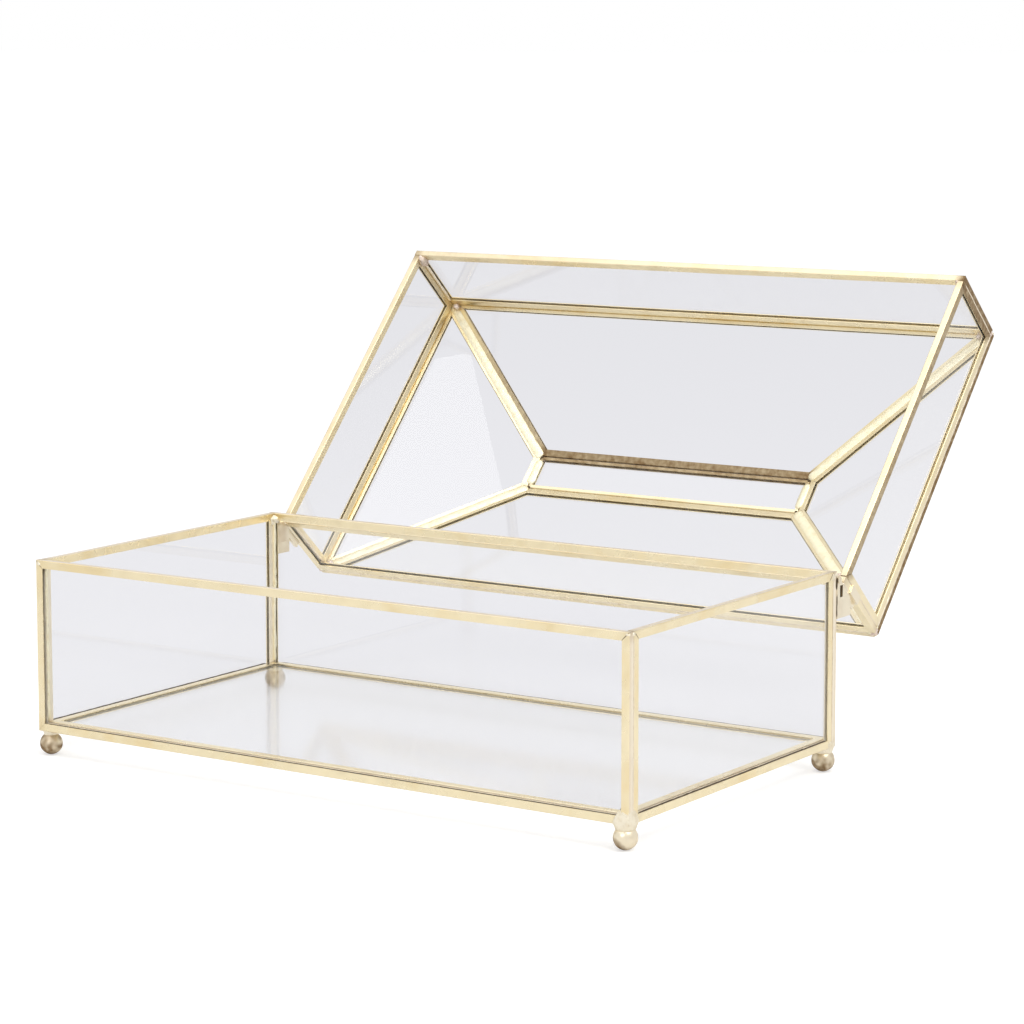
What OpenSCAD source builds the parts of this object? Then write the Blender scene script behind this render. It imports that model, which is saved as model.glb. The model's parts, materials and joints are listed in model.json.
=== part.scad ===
// Glass card box: a rectangular glazed base on ball feet and a hinged, hipped glass lid.
// Every pane sits in its own mitred brass channel, and solder beads join the channels.
// Millimetres. X runs along the long side, -Y is the front, +Z is up.
// The origin is on the surface the feet stand on, under the middle of the base.

/* [Base] */
// Outside length of the base along X
box_w = 300; // [220:1:360]
// Outside depth of the base along Y
box_d = 166; // [130:1:220]
// Height of the base walls, rail to rail
wall_h = 75; // [50:1:110]

/* [Lid] */
// Height of the lid's upright skirt up to the eaves
skirt_h = 42.5; // [30:0.5:60]
// Rise of the roof above the eaves
roof_rise = 25; // [15:0.5:40]
// Length of the flat top along X
top_w = 149.5; // [110:0.5:180]
// Depth of the flat top along Y
top_d = 20; // [16:0.5:40]
// Gap between the two rims when the lid is shut
rim_gap = 0.3; // [0.2:0.1:0.5]
// Angle from shut at which the lid rests open on its stops
open_angle = 132.5; // [115:0.5:140]

/* [Glazing] */
// Thickness of the wall, skirt and roof glass
glass_t = 2; // [1.6:0.1:2.4]
// Thickness of the floor glass, which balances the open lid
floor_t = 3; // [3:0.1:4]
// Width of the channel's two flanges over the glass
came_w = 3.5; // [3.2:0.1:5]
// Width of the slimmer channel around the flat top
top_came_w = 1.8; // [1.5:0.1:3.2]
// Wall thickness of the folded brass channel
came_wall = 0.5; // [0.4:0.05:0.6]
// Play between a pane and each flange
glass_play = 0.1; // [0.05:0.01:0.2]
// Play between a pane's edge and the channel's web
edge_play = 0.2; // [0.1:0.05:0.4]
// Half the open line left at each mitred corner of a channel
mitre_gap = 0.05; // [0.03:0.01:0.1]
// Gap between neighbouring channels along a seam
seam_gap = 0.1; // [0.08:0.01:0.2]

/* [Solder] */
// Radius of the beads inside the upright corners
corner_bead_r = 0.8; // [0.5:0.1:1.2]
// Radius of the beads in the notch under the eaves
eave_bead_r = 0.35; // [0.25:0.05:0.4]
// Depth of the hip and crown beads below the sharp outer edge
bead_sink = 0.4; // [0.3:0.05:0.8]
// Length left free at each end of a seam bead
bead_end = 6; // [5:0.5:9]
// Gap between a bead and the brass beside it
bead_gap = 0.05; // [0.03:0.01:0.1]

/* [Feet] */
// Diameter of the ball feet
ball_d = 10; // [8:0.5:14]
// Distance from the outer faces of the base in to a ball's centre
ball_inset = 3.8; // [3.5:0.1:6]
// Space between the top of a ball and the base
ball_drop = 0.6; // [0.4:0.1:1]
// Depth of the flat worn on the bottom of each ball
ball_flat = 0.1; // [0.05:0.01:0.2]
// Radius of the solder collar over each ball
collar_r = 3.4; // [3:0.1:3.5]
// Height of the solder collar
collar_h = 1.7; // [1.4:0.1:2]
// Gap between a ball and its collar's socket
collar_gap = 0.02; // [0.01:0.01:0.05]

/* [Hinges] */
// Distance of the hinge axis behind the base's back face
axis_back = 1.7; // [1.7:0.1:2.2]
// Distance of the hinge axis below the base's rim
axis_drop = 4; // [3.4:0.1:4.5]
// Radius of the hinge pins
pin_r = 0.75; // [0.6:0.05:0.8]
// Radial clearance of a pin in the bracket's cheeks
pin_seat = 0.01; // [0.01:0.01:0.02]
// Radial clearance of a pin in the strap's eye
pin_run = 0.05; // [0.03:0.01:0.08]
// Radius of the rivet head on the outer end of a pin
pin_head_r = 1.45; // [1.2:0.05:1.5]
// Thickness of the rivet heads
pin_head_t = 0.6; // [0.4:0.1:0.8]
// Gap between a rivet head and the cheek it bears on
head_gap = 0.01; // [0.01:0.01:0.03]
// Thickness of the bracket's cheeks and web
cheek_t = 0.8; // [0.6:0.1:0.9]
// Gap between the strap and each cheek
cheek_gap = 0.1; // [0.05:0.01:0.15]
// Length of the bracket's outer cheek below the hinge axis
bracket_leg = 16.5; // [13:0.5:24]
// Height of the bracket's web, which the open strap stops on
web_h = 2.2; // [1.5:0.1:4]
// Depth of the bracket's inner cheek and web behind the base's back face
bracket_depth = 8.5; // [8:0.1:9]
// Depth of the bracket's outer cheek behind the base's back face
outer_depth = 12; // [9.5:0.1:13]
// Length of the slot through the outer cheek
slot_l = 5; // [3:0.5:6]
// Width of the slot
slot_w = 2.4; // [1:0.1:2.6]
// Gap between the open strap and the web it stops on
stop_gap = 0.1; // [0.05:0.01:0.2]
// Length of the strap above the lid's rim
strap_leg = 16; // [13:0.5:24]
// Thickness of the strap's plate on the lid
strap_t = 0.7; // [0.5:0.1:0.9]
// Length of the strap's fold around the lid's side
fold_leg = 9; // [6:0.5:12]
// Height above the lid's rim at which the strap's plate starts
strap_start = 0.3; // [0.2:0.1:0.6]

/* [Hidden] */
$fn = 64;
came_t = channel_t(glass_t);
pane_in = came_wall + edge_play;
ball_r = ball_d / 2;
base_z = ball_d - ball_flat + ball_drop;
rim_z = base_z + wall_h;
lid_z = rim_z + rim_gap;
side_d = box_d - 2 * (came_t + seam_gap);
side_w = box_w - 2 * (came_t + seam_gap);

// Roof slopes, and the true length of each slope
run_y = (box_d - top_d) / 2;
run_x = (box_w - top_w) / 2;
pitch_y = atan2(roof_rise, run_y);
pitch_x = atan2(roof_rise, run_x);
slope_y = norm([run_y, roof_rise]);
slope_x = norm([run_x, roof_rise]);

// Height of the skirt panes, which end under the roof panes that lap over them
skirt_top = skirt_h - came_t * max(cos(pitch_x), cos(pitch_y)) - seam_gap;

// Angles between the outer faces at the hips and flat top
hip = 180 - acos(cos(pitch_y) * cos(pitch_x));
crown_y = 180 - pitch_y;
crown_x = 180 - pitch_x;

// Outside thickness of the channel that holds glass of thickness t
function channel_t(t) = t + 2 * (came_wall + glass_play);

// How far a channel stands in from a sharp outer edge with angle a
function step_in(a) = came_t / tan(a / 2) + seam_gap;

// Radius of the bead that nests in the groove along such an edge
function bead_r(a) = (came_t / sin(a / 2) - bead_sink) / (1 + 1 / cos(a / 2));

// Inward unit normal of the edge that leaves corner i of an outline
function edge_n(p, i) = let (e = p[(i + 1) % len(p)] - p[i]) [-e[1], e[0]] / norm(e);

// Corner i of an outline whose edges move in by the distances d
function inset_pt(p, d, i) =
    let (n = len(p), h = (i + n - 1) % n, a = edge_n(p, h), b = edge_n(p, i), c = a * b)
    p[i] + ((d[h] - c * d[i]) * a + (d[i] - c * d[h]) * b) / (1 - c * c);

function inset(p, d) = [for (i = [0 : len(p) - 1]) inset_pt(p, d, i)];

function inset_all(p, s) = inset(p, [for (i = p) s]);

// Outline of a symmetric pane: width a at the bottom, width b at the top, height h
function outline(a, b, h) = [[-a / 2, 0], [a / 2, 0], [b / 2, h], [-b / 2, h]];

long_wall = outline(box_w, box_w, wall_h);
end_wall = outline(side_d, side_d, wall_h);
floor_pane = outline(side_w, side_w, side_d);
long_skirt = outline(box_w, box_w, skirt_top);
end_skirt = outline(side_d, side_d, skirt_top);
long_roof = inset(outline(box_w, top_w, slope_y),
    [0, step_in(hip), step_in(crown_y), step_in(hip)]);
end_roof = inset(outline(box_d, top_d, slope_x),
    [0, step_in(hip), step_in(crown_x), step_in(hip)]);
flat_top = inset(outline(top_w, top_w, top_d),
    [step_in(crown_y), step_in(crown_x), step_in(crown_y), step_in(crown_x)]);

// Hinge axis, and sizes of the hinge measured from it
hinge_y = box_d / 2 + axis_back;
hinge_z = rim_z - axis_drop;
hinge_w = came_w;
boss_r = axis_back - cheek_gap;
tongue_r = axis_back - 2 * cheek_gap;
tongue_t = hinge_w - 2 * (cheek_t + cheek_gap);
bracket_back = bracket_depth - axis_back;
outer_back = outer_depth - axis_back;
strap_z = axis_drop + rim_gap + strap_start;
strap_top = axis_drop + rim_gap + strap_leg;

// Where the slot starts, behind and below the hinge axis
slot_back = 1;
slot_drop = 2.6;

// Height, at distance y behind the axis, of a face of the open strap that lies s behind the
// axis when the lid is shut
function open_z(y, s) = -s * sin(open_angle)
    + (y - s * cos(open_angle)) / sin(open_angle) * cos(open_angle);

// Every node can be drawn by itself
// Node to draw, or all of them

brass = [0.86, 0.74, 0.5];
solder = [0.87, 0.83, 0.75];
clear = [0.88, 0.91, 0.93, 0.35];

// Placing panes

module at_front() {
    translate([0, came_t - box_d / 2, 0]) rotate([90, 0, 0]) children();
}

module at_back() {
    translate([0, box_d / 2, 0]) rotate([90, 0, 0]) children();
}

module at_right() {
    translate([box_w / 2 - came_t, 0, 0]) rotate([90, 0, 90]) children();
}

module at_left() {
    translate([-box_w / 2, 0, 0]) rotate([90, 0, 90]) children();
}

// Lays a pane on the roof slope that climbs from distance d at the given pitch
module on_slope(turn, d, pitch) {
    rotate([0, 0, turn])
        translate([0, -d / 2, skirt_h])
            rotate([pitch, 0, 0])
                translate([0, 0, -came_t])
                    children();
}

module on_top() {
    translate([0, -top_d / 2, skirt_h + roof_rise - came_t]) children();
}

module on_base() {
    translate([0, 0, base_z]) children();
}

// Turns the lid's closed geometry back about the hinge axis
module on_lid() {
    translate([0, hinge_y, hinge_z])
        rotate([-open_angle, 0, 0])
            translate([0, -hinge_y, lid_z - hinge_z])
                children();
}

module at_corners() {
    for (sx = [-1, 1], sy = [-1, 1])
        translate([sx * box_w / 2, sy * box_d / 2, 0])
            mirror_corner(sx, sy) children();
}

// Mirrors a corner detail so that it always reaches in towards the middle
module mirror_corner(sx, sy) {
    mirror([sx > 0 ? 0 : 1, 0, 0]) mirror([0, sy > 0 ? 0 : 1, 0]) children();
}

// Panes and channels

module pane(p, t = glass_t) {
    color(clear)
        translate([0, 0, came_wall + glass_play])
            linear_extrude(t) polygon(inset_all(p, pane_in));
}

// One mitred length of U channel, w wide, along edge i of an outline, for glass of thickness t
module came_bar(p, i, t, w) {
    j = (i + 1) % len(p);
    q = inset_all(p, w);
    e = (p[j] - p[i]) / norm(p[j] - p[i]);
    g = mitre_gap * e;
    n = edge_n(p, i);
    a = p[i] - w * e;
    b = p[j] + w * e;
    difference() {
        linear_extrude(channel_t(t)) polygon([p[i] + g, p[j] - g, q[j] - g, q[i] + g]);
        translate([0, 0, came_wall])
            linear_extrude(t + 2 * glass_play)
                polygon([a + came_wall * n, b + came_wall * n, b + 2 * w * n, a + 2 * w * n]);
    }
}

module came(p, t = glass_t, w = came_w) {
    color(brass)
        for (i = [0 : len(p) - 1])
            came_bar(p, i, t, w);
}

// Base

module base_floor_glass() {
    on_base() translate([0, -side_d / 2, 0]) pane(floor_pane, floor_t);
}

module base_floor_came() {
    on_base() translate([0, -side_d / 2, 0]) came(floor_pane, floor_t);
}

module base_front_glass() {
    on_base() at_front() pane(long_wall);
}

module base_front_came() {
    on_base() at_front() came(long_wall);
}

module base_back_glass() {
    on_base() at_back() pane(long_wall);
}

module base_back_came() {
    on_base() at_back() came(long_wall);
}

module base_left_glass() {
    on_base() at_left() pane(end_wall);
}

module base_left_came() {
    on_base() at_left() came(end_wall);
}

module base_right_glass() {
    on_base() at_right() pane(end_wall);
}

module base_right_came() {
    on_base() at_right() came(end_wall);
}

// Upright beads in the inside corners, from height z0 to height z1
module corner_beads(z0, z1) {
    c = came_t + corner_bead_r + bead_gap;
    color(solder)
        at_corners()
            translate([-c, -c, z0])
                cylinder(h = z1 - z0, r = corner_bead_r);
}

module base_corner_solder() {
    on_base() corner_beads(channel_t(floor_t) + bead_gap, wall_h - came_wall);
}

// Feet

module at_feet() {
    at_corners()
        translate([-ball_inset, -ball_inset, 0])
            children();
}

module ball_feet() {
    color(brass)
        at_feet()
            difference() {
                translate([0, 0, ball_r - ball_flat]) sphere(r = ball_r);
                translate([0, 0, -ball_r]) cylinder(h = ball_r, r = ball_r);
            }
}

module foot_solder() {
    color(solder)
        at_feet()
            difference() {
                translate([0, 0, base_z - collar_h]) cylinder(h = collar_h, r = collar_r);
                translate([0, 0, ball_r - ball_flat]) sphere(r = ball_r + collar_gap);
            }
}

// Hinges

// Both hinges, drawn for the right-hand end with the axis as the origin
module at_hinges() {
    for (s = [0, 1])
        mirror([s, 0, 0])
            translate([box_w / 2, hinge_y, hinge_z])
                children();
}

// Stands a flat shape upright across the axis, from x0 to x0 + t
module upright(x0, t) {
    translate([x0, 0, 0]) rotate([90, 0, 90]) linear_extrude(t) children();
}

// One cheek of a bracket, which reaches up to just under the open strap's plate
module cheek_shape(leg, back) {
    plate_in = strap_t - axis_back + stop_gap;
    difference() {
        union() {
            circle(r = boss_r);
            polygon([
                [-axis_back, -leg], [back, -leg],
                [back, open_z(back, plate_in)],
                [boss_r, open_z(boss_r, plate_in)], [-boss_r, 0], [-axis_back, -boss_r]
            ]);
        }
        circle(r = pin_r + pin_seat);
    }
}

module hinge_brackets() {
    web_foot = open_z(bracket_back, tongue_r) - stop_gap - web_h;
    color(brass)
        at_hinges() {
            upright(-cheek_t, cheek_t)
                difference() {
                    cheek_shape(bracket_leg, outer_back);
                    translate([slot_back, -slot_drop - slot_l]) square([slot_w, slot_l]);
                }
            upright(-hinge_w, cheek_t) cheek_shape(-web_foot, bracket_back);
            translate([-hinge_w, bracket_back - cheek_t, web_foot])
                cube([hinge_w, cheek_t, web_h]);
        }
}

module hinge_pins() {
    grip = hinge_w + 2 * head_gap;
    color(brass)
        at_hinges()
            translate([-hinge_w - head_gap - pin_head_t, 0, 0])
                rotate([90, 0, 90])
                    rotate_extrude()
                        polygon([
                            [0, 0], [pin_head_r, 0], [pin_head_r, pin_head_t], [pin_r, pin_head_t],
                            [pin_r, pin_head_t + grip], [pin_head_r, pin_head_t + grip],
                            [pin_head_r, 2 * pin_head_t + grip], [0, 2 * pin_head_t + grip]
                        ]);
}

module tongue_shape() {
    difference() {
        union() {
            circle(r = tongue_r);
            polygon([
                [tongue_r, 0], [tongue_r, strap_top], [-axis_back, strap_top],
                [-axis_back, strap_z], [-tongue_r, strap_z], [-tongue_r, 0]
            ]);
        }
        circle(r = pin_r + pin_run);
    }
}

// The strap's tongue, its plate on the lid's back and its fold around the lid's side
module hinge_straps() {
    color(brass)
        translate([0, hinge_y, hinge_z])
            rotate([-open_angle, 0, 0])
                translate([0, -hinge_y, -hinge_z])
                    at_hinges() {
                        upright(-cheek_t - cheek_gap - tongue_t, tongue_t) tongue_shape();
                        translate([-hinge_w, -axis_back, strap_z])
                            cube([hinge_w, strap_t, strap_top - strap_z]);
                        translate([0, 0, strap_top - fold_leg])
                            linear_extrude(fold_leg)
                                polygon([
                                    [-cheek_t, -axis_back], [0, -axis_back],
                                    [0, -axis_back - came_w], [strap_t, -axis_back - came_w],
                                    [strap_t, strap_t - axis_back], [-cheek_t, strap_t - axis_back]
                                ]);
                    }
}

// Lid

module skirt_front_glass() {
    on_lid() at_front() pane(long_skirt);
}

module skirt_front_came() {
    on_lid() at_front() came(long_skirt);
}

module skirt_back_glass() {
    on_lid() at_back() pane(long_skirt);
}

module skirt_back_came() {
    on_lid() at_back() came(long_skirt);
}

module skirt_left_glass() {
    on_lid() at_left() pane(end_skirt);
}

module skirt_left_came() {
    on_lid() at_left() came(end_skirt);
}

module skirt_right_glass() {
    on_lid() at_right() pane(end_skirt);
}

module skirt_right_came() {
    on_lid() at_right() came(end_skirt);
}

module roof_front_glass() {
    on_lid() on_slope(0, box_d, pitch_y) pane(long_roof);
}

module roof_front_came() {
    on_lid() on_slope(0, box_d, pitch_y) came(long_roof);
}

module roof_back_glass() {
    on_lid() on_slope(180, box_d, pitch_y) pane(long_roof);
}

module roof_back_came() {
    on_lid() on_slope(180, box_d, pitch_y) came(long_roof);
}

module roof_left_glass() {
    on_lid() on_slope(-90, box_w, pitch_x) pane(end_roof);
}

module roof_left_came() {
    on_lid() on_slope(-90, box_w, pitch_x) came(end_roof);
}

module roof_right_glass() {
    on_lid() on_slope(90, box_w, pitch_x) pane(end_roof);
}

module roof_right_came() {
    on_lid() on_slope(90, box_w, pitch_x) came(end_roof);
}

module roof_top_glass() {
    on_lid() on_top() pane(flat_top);
}

module roof_top_came() {
    on_lid() on_top() came(flat_top, glass_t, top_came_w);
}

module skirt_corner_solder() {
    on_lid() corner_beads(came_wall, skirt_h - 2 * came_t);
}

// A bead from a to b, sunk along the inward direction of the two outward normals m and n
module seam_bead(a, b, m, n, angle, free) {
    r = bead_r(angle);
    in = -(bead_sink + r) * (m + n) / norm(m + n);
    u = (b - a) / norm(b - a);
    translate(a + in + free * u)
        rotate([0, acos(u[2]), atan2(u[1], u[0])])
            cylinder(h = norm(b - a) - 2 * free, r = r);
}

// Outward normals of the roof slopes at the corner towards sx, sy
function roof_nx(sx) = [sx * sin(pitch_x), 0, cos(pitch_x)];
function roof_ny(sy) = [0, sy * sin(pitch_y), cos(pitch_y)];
function eave_pt(sx, sy) = [sx * box_w / 2, sy * box_d / 2, skirt_h];
function crown_pt(sx, sy) = [sx * top_w / 2, sy * top_d / 2, skirt_h + roof_rise];

// A bead in the notch that a roof pane at pitch p leaves over the skirt pane below it
module eave_bead(turn, d, length, p) {
    z = skirt_top + bead_gap + eave_bead_r;
    rise = z - (skirt_h - came_t * cos(p));
    out = (eave_bead_r + bead_gap + rise * sin(p)) / cos(p);
    rotate([0, 0, turn])
        translate([0, came_t * sin(p) - out - d / 2, z])
            rotate([0, 90, 0])
                cylinder(h = length - 2 * bead_end, r = eave_bead_r, center = true);
}

module eave_solder() {
    color(solder)
        on_lid() {
            for (turn = [0, 180])
                eave_bead(turn, box_d, box_w, pitch_y);
            for (turn = [-90, 90])
                eave_bead(turn, box_w, box_d, pitch_x);
        }
}

module hip_solder() {
    color(solder)
        on_lid()
            for (sx = [-1, 1], sy = [-1, 1])
                seam_bead(eave_pt(sx, sy), crown_pt(sx, sy), roof_nx(sx), roof_ny(sy), hip, bead_end);
}

module crown_solder() {
    up = [0, 0, 1];
    color(solder)
        on_lid()
            for (s = [-1, 1]) {
                seam_bead(crown_pt(-1, s), crown_pt(1, s), roof_ny(s), up, crown_y, bead_end);
                seam_bead(crown_pt(s, -1), crown_pt(s, 1), roof_nx(s), up, crown_x, bead_end);
            }
}

base_floor_glass();
base_front_glass();
base_back_glass();
base_left_glass();
base_right_glass();
base_floor_came();
base_front_came();
base_back_came();
base_left_came();
base_right_came();
base_corner_solder();
ball_feet();
foot_solder();
hinge_brackets();
hinge_pins();
hinge_straps();
skirt_front_glass();
skirt_back_glass();
skirt_left_glass();
skirt_right_glass();
roof_front_glass();
roof_back_glass();
roof_left_glass();
roof_right_glass();
roof_top_glass();
skirt_front_came();
skirt_back_came();
skirt_left_came();
skirt_right_came();
roof_front_came();
roof_back_came();
roof_left_came();
roof_right_came();
roof_top_came();
skirt_corner_solder();
eave_solder();
hip_solder();
crown_solder();
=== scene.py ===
"""Looks of the glass card box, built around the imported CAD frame. Metres, +Z up, -Y is the front."""
import json
import math

import bmesh
import bpy
from mathutils import Matrix, Vector, noise


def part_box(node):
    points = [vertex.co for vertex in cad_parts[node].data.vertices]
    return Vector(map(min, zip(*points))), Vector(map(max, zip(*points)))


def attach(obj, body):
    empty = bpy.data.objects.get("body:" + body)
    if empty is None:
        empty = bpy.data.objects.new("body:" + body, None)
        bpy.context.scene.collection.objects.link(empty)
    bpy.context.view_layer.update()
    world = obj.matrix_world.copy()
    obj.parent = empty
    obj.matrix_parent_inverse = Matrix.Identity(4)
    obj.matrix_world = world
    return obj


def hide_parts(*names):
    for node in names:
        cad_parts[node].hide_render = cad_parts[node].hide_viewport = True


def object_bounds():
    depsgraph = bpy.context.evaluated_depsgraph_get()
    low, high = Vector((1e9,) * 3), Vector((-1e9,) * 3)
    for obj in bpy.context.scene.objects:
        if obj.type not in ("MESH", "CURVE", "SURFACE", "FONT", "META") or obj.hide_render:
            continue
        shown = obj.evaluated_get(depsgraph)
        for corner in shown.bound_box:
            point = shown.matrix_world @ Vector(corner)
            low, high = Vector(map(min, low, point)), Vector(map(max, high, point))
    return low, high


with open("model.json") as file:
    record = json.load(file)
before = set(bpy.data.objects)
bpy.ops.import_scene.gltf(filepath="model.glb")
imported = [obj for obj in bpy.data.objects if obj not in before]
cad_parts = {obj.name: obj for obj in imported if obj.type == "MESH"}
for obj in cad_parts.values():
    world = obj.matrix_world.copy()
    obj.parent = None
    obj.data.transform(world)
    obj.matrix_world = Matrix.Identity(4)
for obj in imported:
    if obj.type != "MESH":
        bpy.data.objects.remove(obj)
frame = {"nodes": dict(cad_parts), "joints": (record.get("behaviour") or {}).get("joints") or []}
cad_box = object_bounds()
nodes = frame["nodes"]
MM = 0.001
UP = Vector((0, 0, 1))

hinge = frame["joints"][0]
AXIS = Vector(hinge["pos_m"])
OPEN = math.radians(hinge["range_deg"][1])


def opened(p):
    """Where a point of the shut lid is at rest, with the lid open."""
    return AXIS + Matrix.Rotation(-OPEN, 3, "X") @ (Vector(p) - AXIS)


def shut(p):
    """Where a point of the open lid is when the box is shut."""
    return AXIS + Matrix.Rotation(OPEN, 3, "X") @ (p - AXIS)


def same(p):
    """The place of a point of the base, which doesn't move."""
    return Vector(p)


def box_of(points):
    """The least and the greatest corner of some points."""
    return [min(p[i] for p in points) for i in range(3)], [max(p[i] for p in points) for i in range(3)]


# Corners and levels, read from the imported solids. Those of the lid are for the shut box.
wall_points = [v.co for n in ("base_front_came", "base_back_came") for v in nodes[n].data.vertices]
base_lo, base_hi = box_of(wall_points)
half_x, half_y = base_hi[0], base_hi[1]
base_z, rim_z = base_lo[2], base_hi[2]
channel_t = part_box("base_front_came")[1].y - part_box("base_front_came")[0].y
floor_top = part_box("base_floor_came")[1].z
lid_z = min(shut(v.co).z for v in nodes["skirt_front_came"].data.vertices)
eave_z = min((shut(v.co) for v in nodes["roof_front_came"].data.vertices), key=lambda p: p.y).z
crown_x, crown_y, crown_z = box_of([shut(v.co) for v in nodes["roof_top_came"].data.vertices])[1]
pitch_x = math.atan2(crown_z - eave_z, half_x - crown_x)
pitch_y = math.atan2(crown_z - eave_z, half_y - crown_y)
SIDES = (-1, 1)
CORNERS = [(sx, sy) for sx in SIDES for sy in SIDES]

# Face width of a channel bar, and a strip that is sure to take in a bar's whole width
FACE = 3.5 * MM
STRIP = FACE + 0.2 * MM


# Node trees

def rgb(*c):
    """A solid colour, with its alpha."""
    return (*c, 1.0)


class Tree:
    """A short way to write a material's or the world's nodes."""

    def __init__(self, owner):
        owner.use_nodes = True
        self.t = owner.node_tree
        self.t.nodes.clear()

    def add(self, kind, props=None, **inputs):
        n = self.t.nodes.new(kind)
        for k, v in (props or {}).items():
            setattr(n, k, v)
        for k, v in inputs.items():
            self.put(n, k.replace("_", " "), v)
        return n

    def put(self, n, key, v):
        s = n.inputs[int(key)] if key.isdigit() else n.inputs[key]
        if isinstance(v, bpy.types.NodeSocket):
            self.t.links.new(v, s)
        else:
            s.default_value = v

    def math(self, op, a, b=0.0, clamp=False):
        n = self.add("ShaderNodeMath", {"operation": op, "use_clamp": clamp})
        self.put(n, "0", a)
        self.put(n, "1", b)
        return n.outputs[0]

    def attribute(self, name):
        return self.add("ShaderNodeAttribute", {"attribute_name": name}).outputs["Fac"]

    def noise(self, vector, scale, detail=3.0, rough=0.55):
        n = self.add("ShaderNodeTexNoise", Vector=vector, Scale=scale, Detail=detail, Roughness=rough)
        return n.outputs["Fac"]

    def stretch(self, vector, scale):
        return self.add("ShaderNodeMapping", Vector=vector, Scale=scale).outputs[0]

    def ramp(self, fac, *stops):
        n = self.add("ShaderNodeValToRGB", Fac=fac)
        e = n.color_ramp.elements
        while len(e) < len(stops):
            e.new(0.5)
        for el, (place, colour) in zip(e, stops):
            el.position = place
            el.color = rgb(*colour)
        return n.outputs["Color"]

    def mix(self, fac, a, b):
        n = self.add("ShaderNodeMix", {"data_type": "RGBA"})
        self.put(n, "0", fac)
        self.put(n, "6", a)
        self.put(n, "7", b)
        return n.outputs[2]

    def bump(self, height, strength, distance, normal=None):
        n = self.add("ShaderNodeBump", Height=height, Strength=strength, Distance=distance)
        if normal is not None:
            self.put(n, "Normal", normal)
        return n.outputs[0]

    def surface(self, shader):
        out = self.add("ShaderNodeOutputMaterial")
        self.t.links.new(shader, out.inputs["Surface"])


# Materials

BLACK, WHITE = (0, 0, 0), (1, 1, 1)
# Brown of real tarnish, also used for painted shade and painted dark reflections
TARNISH_AND_SHADE = (0.26, 0.17, 0.085)
GILT = (1.0, 0.78, 0.36)
PALE_INNER_TONE = (1.0, 0.92, 0.76)
FLECK = (0.50, 0.36, 0.22)
PIT = (0.34, 0.26, 0.18)
DUSTY = (0.985, 0.99, 0.995)
GLASS_SHADOW = rgb(0.975, 0.98, 0.985)

# Noise scales, in cycles per metre
PATCHES, FLECKS, GRAIN = 42.0, 420.0, 2600.0
DRAW_LINES = (60.0, 4200.0, 1.0)
LUMPS, PITS = 300.0, 1500.0
WAVES, DUST = 11.0, 700.0


def brass_material(name, light, deep, rough, web=None, drawn=True):
    """Thin rolled brass with draw lines along the bar, broad patches of tone and a duller web.

    The mesh says where it is tarnished, where painted shade and painted dark reflections darken it,
    where it is gilt and where it is pale.
    """
    m = bpy.data.materials.new(name)
    t = Tree(m)
    obj = t.add("ShaderNodeTexCoord").outputs["Object"]
    if drawn:
        uv = t.add("ShaderNodeUVMap", {"uv_map": "UVMap"}).outputs[0]
        lines = t.noise(t.stretch(uv, DRAW_LINES), 1.0, 2.0)
    else:
        lines = t.noise(obj, GRAIN, 2.0)
    patch = t.noise(obj, PATCHES, 3.0, 0.6)
    fleck = t.noise(obj, FLECKS, 3.0, 0.6)
    bright = tuple(min(1.0, c * 1.05) for c in light)
    tone = t.ramp(patch, (0.32, deep), (0.5, light), (0.70, bright))
    if web:
        tone = t.mix(t.math("MULTIPLY", t.attribute("web"), 0.85), tone, rgb(*web))
    tone = t.mix(t.math("MULTIPLY", lines, 0.16), tone, rgb(*[c * 0.82 for c in deep]))
    spots = t.ramp(fleck, (0.64, BLACK), (0.76, WHITE))
    tone = t.mix(t.math("MULTIPLY", spots, 0.10), tone, rgb(*FLECK))
    tarnish_and_shade, gilt, pale = (t.attribute(a) for a in ("tarnish_and_shade", "gilt", "pale"))
    tone = t.mix(t.math("MULTIPLY", gilt, 0.9, clamp=True), tone, rgb(*GILT))
    tone = t.mix(t.math("MULTIPLY", pale, 0.85, clamp=True), tone, rgb(*PALE_INNER_TONE))
    # Brown from the mesh's attribute: random tarnish, with painted shade at the bar ends and painted
    # dark reflections on the lid
    worn_and_shaded = t.math("MULTIPLY", tarnish_and_shade, t.math("ADD", fleck, 0.40), clamp=True)
    tone = t.mix(worn_and_shaded, tone, rgb(*TARNISH_AND_SHADE))
    r = t.math("ADD", t.math("MULTIPLY", patch, 0.16), rough - 0.08)
    r = t.math("ADD", r, t.math("MULTIPLY", pale, 0.3))
    r = t.math("ADD", r, t.math("MULTIPLY", worn_and_shaded, 0.3), clamp=True)
    filmed = t.math("MULTIPLY", t.math("MAXIMUM", gilt, pale), 0.55)
    metal = t.math("SUBTRACT", 1.0, filmed, clamp=True)
    normal = t.bump(lines, 0.2, 0.00002)
    normal = t.bump(patch, 0.35, 0.0004, normal)
    p = t.add("ShaderNodeBsdfPrincipled", Base_Color=tone, Metallic=metal, Roughness=r, Normal=normal)
    t.surface(p.outputs[0])
    return m


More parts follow.
